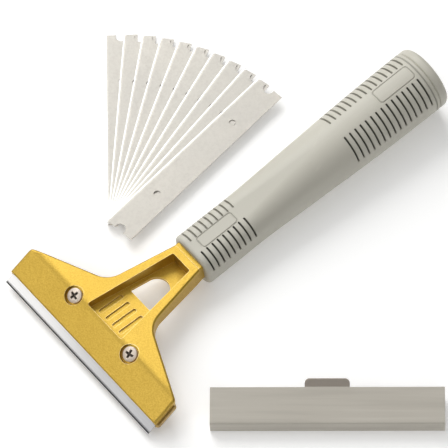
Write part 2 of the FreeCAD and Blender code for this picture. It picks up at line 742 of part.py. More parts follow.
def loose_pieces():
    """The guard and the spare blades, by name, lying on the ground at height 0."""
    guard = blade_guard()
    guard.Placement = Placement(
        Vector(GUARD_X, GUARD_Y, 0), Rotation(Z_AXIS, GUARD_TURN), Vector(0, 0, 0))
    pieces = {"blade_guard": guard}
    for index in range(SPARE_COUNT):
        pieces["spare_blade_%02d" % (index + 1)] = spare_blade(index)
    return pieces


def export_all():
    """Sets the origin under the middle of everything and writes one file per piece."""
    placed = {name: on_ground(shape) for name, shape in tool_pieces().items()}
    ground = placed["handle_grip"].optimalBoundingBox(False).ZMin
    for name, shape in loose_pieces().items():
        shape.translate(Vector(0, 0, ground))
        placed[name] = shape
    box = FreeCAD.BoundBox()
    for shape in placed.values():
        box.add(shape.optimalBoundingBox(False))
    shift = Vector(-box.Center.x, -box.Center.y, -box.ZMin)
    print("resting tilt", resting_tilt(), "origin shift", shift)
    os.makedirs("parts", exist_ok=True)
    for name, shape in placed.items():
        shape.translate(shift)
        print(name, len(shape.Solids), shape.isValid(), round(shape.Volume, 1))
        shape.exportStep("parts/%s.step" % name)


export_all()
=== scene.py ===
"""Looks of the hand scraper: gold cast head, steel blade, warm grey handle and a loose guard.

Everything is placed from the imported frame. The handle has its own axes, found from its node and
from the end cap's joint: across (X), along the handle, and up square to both.
"""
import bisect
import json
import math

import bmesh
import bpy
from mathutils import Matrix, Vector

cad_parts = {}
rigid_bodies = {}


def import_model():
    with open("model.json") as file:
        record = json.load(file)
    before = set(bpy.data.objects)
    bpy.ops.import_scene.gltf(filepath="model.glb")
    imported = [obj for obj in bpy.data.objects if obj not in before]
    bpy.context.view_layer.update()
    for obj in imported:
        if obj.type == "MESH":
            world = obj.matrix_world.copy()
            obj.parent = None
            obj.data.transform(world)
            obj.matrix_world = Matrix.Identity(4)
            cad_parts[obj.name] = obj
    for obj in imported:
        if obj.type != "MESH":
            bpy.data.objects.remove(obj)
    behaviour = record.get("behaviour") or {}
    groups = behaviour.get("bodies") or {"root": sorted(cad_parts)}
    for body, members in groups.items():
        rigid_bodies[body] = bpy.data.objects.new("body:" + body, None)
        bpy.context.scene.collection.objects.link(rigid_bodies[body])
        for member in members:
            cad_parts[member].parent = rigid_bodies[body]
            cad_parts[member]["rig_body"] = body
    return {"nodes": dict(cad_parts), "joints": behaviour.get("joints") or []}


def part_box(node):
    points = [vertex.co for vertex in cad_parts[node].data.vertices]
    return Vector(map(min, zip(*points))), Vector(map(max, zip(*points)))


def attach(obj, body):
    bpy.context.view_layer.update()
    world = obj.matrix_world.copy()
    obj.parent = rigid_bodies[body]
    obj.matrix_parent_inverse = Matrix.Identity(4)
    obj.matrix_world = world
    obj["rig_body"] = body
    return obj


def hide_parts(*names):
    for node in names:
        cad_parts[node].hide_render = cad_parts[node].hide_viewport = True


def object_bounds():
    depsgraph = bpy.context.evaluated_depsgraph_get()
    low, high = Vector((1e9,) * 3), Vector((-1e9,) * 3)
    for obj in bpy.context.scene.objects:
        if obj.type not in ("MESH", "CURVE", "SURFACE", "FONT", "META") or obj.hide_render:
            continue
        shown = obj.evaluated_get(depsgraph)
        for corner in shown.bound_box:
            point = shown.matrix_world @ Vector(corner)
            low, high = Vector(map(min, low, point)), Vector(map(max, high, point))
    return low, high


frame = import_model()
cad_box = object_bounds()
nodes = frame["nodes"]

MM = 0.001

# Handle: station, width, height and corner radius of each section along it, in mm
HANDLE_SECTIONS = (
    (0.0, 24.0, 20.8, 7.6),
    (21.0, 24.0, 20.8, 7.6),
    (27.0, 23.9, 21.1, 7.9),
    (33.0, 24.1, 21.8, 8.6),
    (40.0, 24.8, 22.9, 9.7),
    (49.0, 25.7, 24.5, 10.9),
    (61.0, 26.9, 26.5, 12.4),
    (75.0, 28.2, 28.2, 13.8),
    (89.0, 29.4, 29.4, 14.5),
    (103.0, 30.2, 30.2, 14.9),
    (118.0, 30.7, 30.7, 15.15),
    (135.2, 31.0, 31.0, 15.3),
)
HANDLE_LENGTH = 135.2
RIM_RADIUS = 1.8
REAR_BEVEL = 0.55
TANG_HALF_WIDTH = 6.6
TANG_TOP = 4.2
TANG_BOTTOM = 2.9
TANG_DEPTH = 22.0
BULKHEAD = 4.0
SCREW_HOLE_RADIUS = 2.05
CHANNEL_RADIUS = 4.3
MAGAZINE_HALF = (7.8, 2.8)
MAGAZINE_START = 29.0
SOCKET_RADIUS = 11.0
SOCKET_DEPTH = 6.0

# Grip slots, in mm and degrees from the top
GRIP_PITCH = 3.1
GRIP_HALF_WIDTH = 0.38
GRIP_DEPTH = 1.2
GRIP_LIP = 0.22
GRIP_INNER_ANGLE = 18.5
GRIP_GROUPS = ((3.5, 9, 72.0), (87.1, 15, 76.0))    # first station, number, outer angle
LEFT_SLOT_SHADE = 0.45              # less painted shade in the slots on this side, which faces the light
END_RING = (133.0, 0.32, 0.45)      # station, half width and depth of the groove near the end
RING_SHADE = 0.4

# Blank bordered panels: first and last station, and half width
PANELS = ((5.8, 25.6, 3.0), (110.6, 131.0, 3.7))
PANEL_LINE_HALF = 0.25
PANEL_LINE_DEPTH = 0.35
PANEL_CORNER = 1.4
PANEL_SHADE = 0.3

BEVEL_DROP = 0.00021                # height of a spare blade's upper bevel, in metres
GUARD_TURN = math.radians(49.0)     # how far the guard is turned from lying along X

# Head: where the softened crease of its top is centred, its radius, and the two leans it joins
CREASE_STATION = -48.70
CREASE_RADIUS = 9.0
FRONT_LEAN = 27.0
REAR_LEAN = -2.18
EVEN_WITHIN = 9.0                   # faces this near the top's own direction are part of it

# Softened CAD edges
MERGE = 0.01
BEVEL_SEGMENTS = 2
BEVEL_ANGLE = 25.5

# Clamp screws, in mm
SCREW_RADIUS = 3.5
SCREW_RISE = 1.9
SCREW_CROWN = 0.6
SCREW_RIM = 0.45
SCREW_SHANK_RADIUS = 2.0
SCREW_LENGTH = 6.2
SCREW_TURN = 12.0                   # how far each cross is turned from square, in degrees
SCREW_POINTS = 96                   # mesh points round a screw
CROWN_RINGS = 34
THREAD_START = 0.4
THREAD_PITCH = 0.7
THREAD_DEPTH = 0.3
TIP_CHAMFER = 0.5
CROSS_HALF_LENGTH = 2.35
CROSS_HALF_WIDTH = 0.62
CROSS_DEPTH = 1.25

# Stage: lights as name, direction, distance, size and power
FLOOR_HALF = 6.0
SENSOR = 36.0
LENS = 3882.0 / 448.0               # focal length, in picture widths
LIGHTS = (
    ("key", (-0.80, 0.22, 0.80), 1.6, (1.1, 1.1), 19.0),
    ("fill", (0.9, -0.5, 1.0), 2.0, (1.6, 1.6), 9.0),
    ("top", (0.0, 0.25, 1.0), 2.2, (1.8, 1.8), 11.0),
    ("front", (-0.38, -0.64, 0.66), 1.5, (1.0, 0.8), 5.5),
)


# ---------------------------------------------------------------- places

def handle_frame():
    """Matrix from the handle's own axes (mm, zero in the middle of its front rim) to the row's."""
    pull = [joint for joint in frame["joints"] if joint["name"] == "end_cap_pull"][0]
    along = Vector(pull["axis"]).normalized()
    across = Vector((1, 0, 0))
    up = across.cross(along)
    points = [vertex.co for vertex in nodes["handle_grip"].data.vertices]
    heights = [point.dot(up) for point in points]
    widths = [point.dot(across) for point in points]
    origin = (
        along * min(point.dot(along) for point in points)
        + up * (min(heights) + max(heights)) / 2
        + across * (min(widths) + max(widths)) / 2)
    turn = Matrix((across, along, up)).transposed().to_4x4()
    return Matrix.Translation(origin) @ turn @ Matrix.Scale(MM, 4)


HANDLE = handle_frame()


def place(x, station, height):
    """Point given in the handle's own axes, in mm, as a point of the row frame."""
    return HANDLE @ Vector((x, station, height))


def turned(x, station, height):
    """Direction given in the handle's own axes, in the row frame."""
    return (HANDLE.to_3x3() @ Vector((x, station, height))).normalized()


# ---------------------------------------------------------------- node helpers

class Shader:
    """A material whose nodes are added one by one, around a Principled BSDF."""

    def __init__(self, name, **settings):
        self.material = bpy.data.materials.new(name)
        self.material.use_nodes = True
        self.tree = self.material.node_tree
        self.shader = self.tree.nodes["Principled BSDF"]
        for socket, value in settings.items():
            self.shader.inputs[socket.replace("_", " ")].default_value = value
        place_node = self.tree.nodes.new("ShaderNodeTexCoord")
        self.place = place_node.outputs["Object"]

    def link(self, value, socket):
        """Sets a socket to a constant, or joins it to another node's output."""
        if isinstance(value, bpy.types.NodeSocket):
            self.tree.links.new(value, socket)
        else:
            socket.default_value = value

    def noise(self, scale, detail=3.0, stretch=(1, 1, 1), turn=(0, 0, 0), roughness=0.5):
        """Noise, in features per metre, drawn out along a turned axis by a small stretch value."""
        mapping = self.tree.nodes.new("ShaderNodeMapping")
        mapping.vector_type = "TEXTURE"
        mapping.inputs["Scale"].default_value = [1 / share for share in stretch]
        mapping.inputs["Rotation"].default_value = turn
        self.link(self.place, mapping.inputs["Vector"])
        node = self.tree.nodes.new("ShaderNodeTexNoise")
        node.inputs["Scale"].default_value = scale
        node.inputs["Detail"].default_value = detail
        node.inputs["Roughness"].default_value = roughness
        self.link(mapping.outputs["Vector"], node.inputs["Vector"])
        return node.outputs["Fac"]

    def ramp(self, value, low, high, out_low=0.0, out_high=1.0):
        """Maps a value from one range to another, clamped."""
        node = self.tree.nodes.new("ShaderNodeMapRange")
        self.link(value, node.inputs["Value"])
        for name, number in (
                ("From Min", low), ("From Max", high), ("To Min", out_low), ("To Max", out_high)):
            node.inputs[name].default_value = number
        return node.outputs["Result"]

    def mix(self, factor, first, second):
        """Blends two colours."""
        node = self.tree.nodes.new("ShaderNodeMix")
        node.data_type = "RGBA"
        self.link(factor, node.inputs[0])
        for value, socket in ((first, node.inputs[6]), (second, node.inputs[7])):
            self.link(value if isinstance(value, bpy.types.NodeSocket) else (*value, 1.0), socket)
        return node.outputs[2]

    def math(self, operation, first, second):
        """One sum of two values."""
        node = self.tree.nodes.new("ShaderNodeMath")
        node.operation = operation
        node.use_clamp = True
        self.link(first, node.inputs[0])
        self.link(second, node.inputs[1])
        return node.outputs[0]

    def edges(self, radius):
        """0 on flats, rising to 1 on edges, within a radius in metres."""
        soft = self.tree.nodes.new("ShaderNodeBevel")
        soft.samples = 6
        soft.inputs["Radius"].default_value = radius
        product = self.tree.nodes.new("ShaderNodeVectorMath")
        product.operation = "DOT_PRODUCT"
        self.link(soft.outputs["Normal"], product.inputs[0])
        self.link(self.geometry("Normal"), product.inputs[1])
        return self.ramp(product.outputs["Value"], 0.99, 0.90)

    def geometry(self, output):
        """One output of the geometry node."""
        return self.tree.nodes.new("ShaderNodeNewGeometry").outputs[output]

    def axis(self, name):
        """One coordinate of the place, in metres."""
        node = self.tree.nodes.new("ShaderNodeSeparateXYZ")
        self.link(self.place, node.inputs[0])
        return node.outputs[name]

    def along(self, direction):
        """How far the place is along a direction, in metres."""
        node = self.tree.nodes.new("ShaderNodeVectorMath")
        node.operation = "DOT_PRODUCT"
        self.link(self.place, node.inputs[0])
        node.inputs[1].default_value = direction
        return node.outputs["Value"]

    def attribute(self, name):
        """A value stored on the mesh."""
        node = self.tree.nodes.new("ShaderNodeAttribute")
        node.attribute_name = name
        return node.outputs["Fac"]

    def colour(self, value):
        """Sets the base colour."""
        self.link(value, self.shader.inputs["Base Color"])

    def roughness(self, value):
        """Sets the roughness."""
        self.link(value, self.shader.inputs["Roughness"])

    def bump(self, *layers):
        """Adds bump layers, each (height, strength, depth in metres)."""
        normal = None
        for height, strength, depth in layers:
            node = self.tree.nodes.new("ShaderNodeBump")
            node.inputs["Strength"].default_value = strength
            node.inputs["Distance"].default_value = depth
            self.link(height, node.inputs["Height"])
            if normal is not None:
                self.link(normal, node.inputs["Normal"])
            normal = node.outputs["Normal"]
        self.link(normal, self.shader.inputs["Normal"])


# ---------------------------------------------------------------- materials

def gold_paint():
    """Satin gold paint over a casting: faint cast texture, mottling, and a painted highlight along
    the edges.
    """
    paint = Shader("gold_paint", Metallic=0.72)
    cloud = paint.noise(28.0, 4.0)
    grain = paint.noise(1500.0, 5.0, roughness=0.65)
    speck = paint.noise(5200.0, 2.0)
    base = paint.mix(paint.ramp(cloud, 0.3, 0.7), (0.555, 0.36, 0.052), (0.605, 0.40, 0.066))
    base = paint.mix(paint.ramp(grain, 0.40, 0.62, 0.0, 0.5), base, (0.43, 0.265, 0.03))
    # Painted highlight: pale gold along the edges, made uneven by the mottling.
    edge_highlight = paint.math("MULTIPLY", paint.edges(0.0004), paint.ramp(cloud, 0.35, 0.6, 0.45, 0.9))
    paint.colour(paint.mix(edge_highlight, base, (0.97, 0.82, 0.42)))
    paint.roughness(paint.ramp(grain, 0.35, 0.65, 0.34, 0.46))
    paint.bump((grain, 0.3, 0.0002), (speck, 0.16, 0.00006))
    return paint.material


def plate_paint():
    """Duller gold of the clamp plate, brushed through on its edges."""
    paint = Shader("plate_paint", Metallic=0.5)
    cloud = paint.noise(40.0, 4.0)
    grain = paint.noise(1800.0, 4.0)
    base = paint.mix(paint.ramp(cloud, 0.3, 0.7), (0.46, 0.30, 0.085), (0.55, 0.38, 0.13))
    paint.colour(paint.mix(paint.edges(0.0004), base, (0.62, 0.50, 0.28)))
    paint.roughness(paint.ramp(grain, 0.3, 0.7, 0.34, 0.52))
    paint.bump((grain, 0.18, 0.0002))
    return paint.material


def blade_steel(edge_y):
    """Ground steel of the fitted blade: lines along it, a painted reflection that is paler to the
    left and darker to the right, a painted shadow line where it goes in under the head, and a dark
    last line.
    """
    steel = Shader("blade_steel", Metallic=0.8)
    lines = steel.noise(220.0, 6.0, stretch=(0.05, 9.0, 9.0), roughness=0.7)
    cloud = steel.noise(35.0, 3.0)
    base = steel.mix(steel.ramp(lines, 0.3, 0.7), (0.50, 0.50, 0.50), (0.66, 0.65, 0.63))
    base = steel.mix(steel.ramp(cloud, 0.45, 0.75, 0.0, 0.4), base, (0.46, 0.45, 0.45))
    y = steel.axis("Y")
    x = steel.axis("X")
    low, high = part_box("blade")
    # Painted reflection: paler towards the left end of the blade and darker towards the right.
    base = steel.mix(steel.ramp(x, low.x, low.x + 0.06, 0.85, 0.0), base, (0.76, 0.75, 0.74))
    base = steel.mix(steel.ramp(x, low.x + 0.03, high.x, 0.0, 0.55), base, (0.27, 0.27, 0.29))
    # Painted shadow: a dark line where the blade goes in under the head.
    lip_shadow = steel.ramp(y, edge_y + 0.0046, edge_y + 0.0049)
    base = steel.mix(lip_shadow, base, (0.12, 0.10, 0.06))
    last = steel.ramp(y, edge_y + 0.0005, edge_y + 0.0006, 0.94, 0.0)
    steel.colour(steel.mix(last, base, (0.05, 0.05, 0.055)))
    steel.roughness(steel.ramp(lines, 0.25, 0.75, 0.3, 0.46))
    steel.bump((lines, 0.06, 0.00006))
    return steel.material


def spare_steel(node):
    """Warm pale steel of a spare blade, with fine grinding and a painted highlight, a white line on
    its bevel.
    """
    steel = Shader(node + "_steel", Metallic=0.35)
    grain = steel.noise(900.0, 5.0, roughness=0.7)
    cloud = steel.noise(26.0, 3.0)
    base = steel.mix(steel.ramp(cloud, 0.3, 0.7), (0.52, 0.495, 0.445), (0.475, 0.455, 0.415))
    base = steel.mix(steel.ramp(grain, 0.45, 0.7, 0.0, 0.3), base, (0.385, 0.36, 0.33))
    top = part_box(node)[1].z
    # Painted highlight: a white band over the lower part of the bevel, near the edge.
    glint_below_top = steel.ramp(steel.axis("Z"), top - BEVEL_DROP * 0.55, top - BEVEL_DROP * 0.65)
    upper = steel.ramp(steel.axis("Z"), top - BEVEL_DROP * 1.3, top - BEVEL_DROP * 1.2)
    steel.colour(steel.mix(steel.math("MULTIPLY", glint_below_top, upper), base, (0.97, 0.97, 0.96)))
    steel.roughness(steel.ramp(grain, 0.3, 0.7, 0.38, 0.52))
    steel.bump((grain, 0.08, 0.00006))
    return steel.material


def nickel():
    """Bright plated screw: fine turned grain and painted shade in the recess."""
    plate = Shader("screw_nickel", Metallic=0.45)
    grain = plate.noise(2600.0, 4.0)
    cloud = plate.noise(300.0, 3.0)
    base = plate.mix(plate.ramp(cloud, 0.35, 0.7), (0.86, 0.75, 0.64), (0.76, 0.65, 0.55))
    # Painted shade: near black in the cross recess, under the head and in the thread.
    recess = plate.ramp(plate.attribute("painted_shade"), 0.2, 0.75)
    plate.colour(plate.mix(recess, base, (0.06, 0.045, 0.035)))
    plate.roughness(plate.ramp(grain, 0.3, 0.7, 0.34, 0.5))
    plate.bump((grain, 0.12, 0.00008))
    return plate.material


def handle_plastic():
    """Moulded plastic with a fine spark-eroded grain, faint flow marks, scuffs, and painted shade
    in the slots, grooves and hollow.
    """
    pale, dark = (0.61, 0.59, 0.51), (0.55, 0.53, 0.455)
    plastic = Shader("handle_plastic")
    flow = plastic.noise(22.0, 3.0, stretch=(1.0, 0.35, 1.0))
    grain = plastic.noise(2800.0, 3.0, roughness=0.6)
    scuff = plastic.noise(
        260.0, 5.0, stretch=(1.0, 0.12, 1.0), turn=(0.0, 0.0, 0.35), roughness=0.7)
    base = plastic.mix(plastic.ramp(flow, 0.3, 0.7), pale, dark)
    lift = tuple(min(1.0, value * 1.16) for value in pale)
    base = plastic.mix(plastic.ramp(scuff, 0.60, 0.78, 0.0, 0.4), base, lift)
    # Painted shade: near black where the mesh marks the slots, panel lines, end groove and hollow.
    base = plastic.mix(plastic.attribute("painted_shade"), base, (0.045, 0.042, 0.036))
    plastic.colour(base)
    plastic.roughness(plastic.ramp(grain, 0.3, 0.7, 0.42, 0.58))
    plastic.bump((grain, 0.28, 0.00012), (scuff, 0.06, 0.00015))
    return plastic.material


def guard_plastic():
    """Plastic of the guard, with painted shade on the tab that leans back."""
    pale, dark = (0.57, 0.535, 0.465), (0.52, 0.485, 0.42)
    plastic = Shader("guard_plastic")
    flow = plastic.noise(30.0, 3.0, stretch=(0.25, 1.0, 1.0), turn=(0.0, 0.0, GUARD_TURN))
    streak = plastic.noise(420.0, 4.0, stretch=(0.04, 1.0, 1.0), turn=(0.0, 0.0, GUARD_TURN))
    grain = plastic.noise(2800.0, 3.0, roughness=0.6)
    base = plastic.mix(plastic.ramp(flow, 0.3, 0.7), pale, dark)
    base = plastic.mix(plastic.ramp(streak, 0.52, 0.72, 0.0, 0.45), base, (0.63, 0.60, 0.53))
    base = plastic.mix(plastic.ramp(streak, 0.46, 0.30, 0.0, 0.35), base, (0.42, 0.39, 0.335))
    back = Vector((-math.sin(GUARD_TURN), math.cos(GUARD_TURN), 0))
    rear = max(vertex.co.dot(back) for vertex in nodes["blade_guard"].data.vertices)
    # Painted shade: a darker tint on the tab, which leans back away from the light.
    tab = plastic.ramp(plastic.along(back), rear - 0.00375, rear - 0.0035)
    plastic.colour(plastic.mix(tab, base, (0.37, 0.325, 0.275)))
    plastic.roughness(plastic.ramp(grain, 0.3, 0.7, 0.42, 0.58))
    plastic.bump((grain, 0.28, 0.00012), (streak, 0.08, 0.00012))
    return plastic.material


def inner_steel():
    """Plated fixings inside the handle."""
    steel = Shader("inner_steel", Metallic=0.9)
    grain = steel.noise(1800.0, 4.0)
    steel.colour(steel.mix(grain, (0.52, 0.52, 0.50), (0.66, 0.65, 0.62)))
    steel.roughness(steel.ramp(grain, 0.3, 0.7, 0.28, 0.45))
    steel.bump((grain, 0.1, 0.0001))
    return steel.material


def floor_paper():
    """Plain pale paper."""
    paper = Shader(
        "floor_paper", Roughness=0.9, Emission_Color=(1.0, 1.0, 1.0, 1.0), Emission_Strength=0.2)
    fibre = paper.noise(900.0, 4.0)
    paper.colour(paper.mix(fibre, (0.93, 0.93, 0.925), (0.95, 0.95, 0.945)))
    paper.bump((fibre, 0.03, 0.0002))
    return paper.material


# ---------------------------------------------------------------- pieces

def new_piece(name, mesh):
    """Object for a mesh, in the scene."""
    piece = bpy.data.objects.new(name, mesh)
    bpy.context.scene.collection.objects.link(piece)
    return piece


def shade(mesh, degrees):
    """Smooth shading, kept sharp where faces meet more steeply."""
    work = bmesh.new()
    work.from_mesh(mesh)
    bmesh.ops.recalc_face_normals(work, faces=work.faces)
    limit = math.radians(degrees)
    for face in work.faces:
        face.smooth = True
    for edge in work.edges:
        edge.smooth = not (edge.is_manifold and edge.calc_face_angle(0.0) > limit)
    work.to_mesh(mesh)
    work.free()


def stand_for(piece, node, material):
    """Puts a piece on its node's body, in its node's stead."""
    piece.data.materials.clear()
    piece.data.materials.append(material)
    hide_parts(node)
    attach(piece, nodes[node]["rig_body"])


# ---------------------------------------------------------------- handle

def section(station):
    """Half width, half height and corner radius of the handle at a station."""
    stations = [row[0] for row in HANDLE_SECTIONS]
    last = len(stations) - 2
    index = min(max(bisect.bisect_right(stations, station) - 1, 0), last)
    part = (station - stations[index]) / (stations[index + 1] - stations[index])
    values = []
    for column in (1, 2, 3):
        samples = [
            HANDLE_SECTIONS[min(max(index + step, 0), last + 1)][column] for step in (-1, 0, 1, 2)]
        ahead = (samples[2] - samples[0]) / 2
        leaving = (samples[3] - samples[1]) / 2
        values.append(hermite(samples[1], samples[2], ahead, leaving, part))
    width, height, radius = values
    return width / 2, height / 2, radius


def hermite(first, second, slope_first, slope_second, part):
    """Cubic between two values with given slopes."""
    square, cube = part ** 2, part ** 3
    return (
        (2 * cube - 3 * square + 1) * first + (cube - 2 * square + part) * slope_first
        + (3 * square - 2 * cube) * second + (cube - square) * slope_second)


def rounded_reach(half_x, half_z, radius, angle):
    """Distance from the axis to a rounded rectangle, at an angle from the top."""
    across, up = abs(math.sin(angle)), abs(math.cos(angle))
    flat_x, flat_z = half_x - radius, half_z - radius
    if up > 0 and half_z * across / up <= flat_x:
        return half_z / up
    if across > 0 and half_x * up / across <= flat_z:
        return half_x / across
    middle = across * flat_x + up * flat_z
    return middle + math.sqrt(max(middle ** 2 - flat_x ** 2 - flat_z ** 2 + radius ** 2, 0.0))


def slot_depth(station, angle):
    """How deep a grip slot is at a place on the skin, as a share of the full depth."""
    degrees = abs(math.degrees(angle))
    share = 0.0
    for start, count, outer in GRIP_GROUPS:
        index = round((station - start) / GRIP_PITCH)
        if not 0 <= index < count:
            continue
        half_x, half_z, radius = section(station)
        arc = math.radians(1) * rounded_reach(half_x, half_z, radius, angle)
        inside = min(degrees - GRIP_INNER_ANGLE, outer - degrees) * arc
        off = abs(station - start - index * GRIP_PITCH)
        if inside < GRIP_HALF_WIDTH:
            off = math.hypot(off, GRIP_HALF_WIDTH - inside)
        share = max(share, smooth((GRIP_HALF_WIDTH + GRIP_LIP / 2 - off) / GRIP_LIP))
    return share


def smooth(value):
    """Eases from 0 to 1."""
    value = min(max(value, 0.0), 1.0)
    return value * value * (3 - 2 * value)


def panel_depth(station, x, height):
    """How deep a panel's border line is at a place, as a share of the full depth."""
    if height < 0:
        return 0.0
    share = 0.0
    for first, last, half in PANELS:
        middle = (first + last) / 2
        over_x = abs(x) - (half - PANEL_CORNER)
        over_y = abs(station - middle) - ((last - first) / 2 - PANEL_CORNER)
        if over_x > 0 and over_y > 0:
            distance = math.hypot(over_x, over_y) - PANEL_CORNER
        else:
            distance = max(over_x, over_y) - PANEL_CORNER
        share = max(share, smooth(1.5 - abs(distance) / PANEL_LINE_HALF))
    return share


def handle_angles():
    """Angles of the mesh lines round the handle, close together over its patterned top."""
    corner = math.degrees(math.atan2(MAGAZINE_HALF[0], MAGAZINE_HALF[1]))
    tang_top = math.degrees(math.atan2(TANG_HALF_WIDTH, TANG_TOP))
    tang_bottom = 180 - math.degrees(math.atan2(TANG_HALF_WIDTH, TANG_BOTTOM))
    half = [0.0]
    while half[-1] < 179.9:
        at = half[-1]
        step = 0.4 if 12.0 < at < 20.0 else 1.1 if at < 80.0 else 4.0
        half.append(min(at + step, 180.0))
    for exact in (tang_top, corner, tang_bottom, 180 - corner):
        nearest = min(range(1, len(half) - 1), key=lambda index: abs(half[index] - exact))
        half[nearest] = exact
    right = sorted(set(half))
    return [math.radians(a) for a in right] + [math.radians(-a) for a in right[-2:0:-1]]


def handle_stations():
    """Stations of the mesh rings along the skin, close together where it is patterned."""
    end = HANDLE_LENGTH - REAR_BEVEL
    stations = {RIM_RADIUS, end}
    step = 0
    while RIM_RADIUS + step * 0.6 < end:
        station = RIM_RADIUS + step * 0.6
        patterned = station < 30.0 or station > 85.0
        if patterned or step % 2 == 0:
            stations.add(station)
        step += 1
    centres = [END_RING[0]]
    for start, count, _ in GRIP_GROUPS:
        centres += [start + index * GRIP_PITCH for index in range(count)]
    for centre in centres:
        for off in (0.0, 0.14, 0.25, 0.33, 0.41, 0.49, 0.62):
            stations.update((centre - off, centre + off))
    for first, last, _ in PANELS:
        for end_line in (first, last):
            stations.update(end_line + off * 0.12 for off in range(-3, 4))
    kept = []
    for station in sorted(stations):
        if station < RIM_RADIUS or station > end:
            continue
        if not kept or station - kept[-1] > 0.05:
            kept.append(station)
    if kept[-1] < end:
        kept[-1] = end
    return kept


def skin_ring(station, angles):
    """One ring of the patterned skin, with each point's share of painted shade."""
    half_x, half_z, radius = section(station)
    ring = []
    for angle in angles:
        reach = rounded_reach(half_x, half_z, radius, angle)
        x, height = reach * math.sin(angle), reach * math.cos(angle)
        slot = slot_depth(station, angle) if abs(angle) < math.radians(80) else 0.0
        line = panel_depth(station, x, height) if abs(angle) < math.radians(30) else 0.0
        groove = smooth(1.5 - abs(station - END_RING[0]) / END_RING[1])
        drop = slot * GRIP_DEPTH + line * PANEL_LINE_DEPTH + groove * END_RING[2]
        scale = (reach - drop) / reach
        # Painted shade in the slots, lighter on the left side, which faces the light; the panel
        # lines and end groove get painted shade too.
        shade_share = slot * (LEFT_SLOT_SHADE if x < 0 else 1.0)
        painted_shade = max(shade_share, line * PANEL_SHADE, groove * RING_SHADE)
        ring.append((x * scale, station, height * scale, painted_shade))
    return ring


def plain_ring(station, angles, reach_at, painted_shade=0.0):
    """One ring at a station, given how far it is from the axis at an angle, with an even share of
    painted shade.
    """
    ring = []
    for angle in angles:
        reach = reach_at(angle)
        ring.append((reach * math.sin(angle), station, reach * math.cos(angle), painted_shade))
    return ring


def handle_rings():
    """All rings in turn: out of the tang's pocket, over the skin, and back through the hollow."""
    angles = handle_angles()
    half_x, half_z, radius = section(0.0)
    rings = []

    def tang(angle):
        half_height = TANG_TOP if math.cos(angle) > 0 else TANG_BOTTOM
        return rounded_reach(TANG_HALF_WIDTH, half_height, 0.01, angle)

    def magazine(angle):
        return max(rounded_reach(*MAGAZINE_HALF, 0.01, angle), CHANNEL_RADIUS)

    rings.append(plain_ring(TANG_DEPTH, angles, lambda angle: SCREW_HOLE_RADIUS))
    rings.append(plain_ring(TANG_DEPTH, angles, tang))
    rings.append(plain_ring(0.0, angles, tang))
    for step in range(9):
        lean = math.radians(step * 90 / 8)
        inset = RIM_RADIUS * (1 - math.sin(lean))
        ahead = RIM_RADIUS * (1 - math.cos(lean))
        rings.append(plain_ring(ahead, angles, lambda angle, inset=inset: rounded_reach(
            half_x - inset, half_z - inset, radius - inset, angle)))
    for station in handle_stations()[1:]:
        rings.append(skin_ring(station, angles))
    end_x, end_z, end_radius = section(HANDLE_LENGTH)
    rings.append(plain_ring(HANDLE_LENGTH, angles, lambda angle: rounded_reach(
        end_x - REAR_BEVEL, end_z - REAR_BEVEL, end_radius - REAR_BEVEL, angle)))
    for station in (HANDLE_LENGTH, HANDLE_LENGTH - SOCKET_DEPTH):
        rings.append(plain_ring(station, angles, lambda angle: SOCKET_RADIUS))
    # Painted shade inside the hollow, darker deep in the magazine and channel.
    rings.append(plain_ring(HANDLE_LENGTH - SOCKET_DEPTH, angles, magazine, 0.4))
    rings.append(plain_ring(MAGAZINE_START, angles, magazine, 0.9))
    for station in (MAGAZINE_START, TANG_DEPTH + BULKHEAD):
        rings.append(plain_ring(station, angles, lambda angle: CHANNEL_RADIUS, 0.9))
    rings.append(plain_ring(TANG_DEPTH + BULKHEAD, angles, lambda angle: SCREW_HOLE_RADIUS, 0.9))
    return rings


def ring_mesh(name, rings, axes, looped=True):
    """Closed mesh through rings, joined end to end or capped, with each point's share of painted
    shade kept.
    """
    count = len(rings[0])
    vertices = [axes @ Vector(point[:3]) for ring in rings for point in ring]
    faces = []
    for row in range(len(rings) if looped else len(rings) - 1):
        below = row * count
        above = ((row + 1) % len(rings)) * count
        for column in range(count):
            after = (column + 1) % count
            faces.append((below + column, below + after, above + after, above + column))
    if not looped:
        last = (len(rings) - 1) * count
        faces.append(tuple(range(count)))
        faces.append(tuple(range(last + count - 1, last - 1, -1)))
    mesh = bpy.data.meshes.new(name)
    mesh.from_pydata(vertices, [], faces)
    painted_shade = mesh.attributes.new("painted_shade", "FLOAT", "POINT")
    painted_shade.data.foreach_set("value", [point[3] for ring in rings for point in ring])
    return mesh


# ---------------------------------------------------------------- screws

def screw_axes(joint_name):
    """Matrix from a clamp screw's own axes (mm, Z out of its head) to the row's."""
    joint = [item for item in frame["joints"] if item["name"] == joint_name][0]
    out = Vector(joint["axis"]).normalized()
    across = Vector((1, 0, 0))
    turn = Matrix((across, out.cross(across), out)).transposed().to_4x4()
    return Matrix.Translation(Vector(joint["pos_m"])) @ turn @ Matrix.Scale(MM, 4)


def cross_share(x, y):
    """How deep the cross recess is at a place on the head, as a share of its full depth."""
    along, beside = max(abs(x), abs(y)), min(abs(x), abs(y))
    flank = smooth((CROSS_HALF_WIDTH - beside) / 0.16)
    core = smooth((CROSS_HALF_WIDTH * 1.5 - math.hypot(x, y)) / 0.16)
    end = smooth((CROSS_HALF_LENGTH - along) / 0.9)
    return max(flank * end, core)


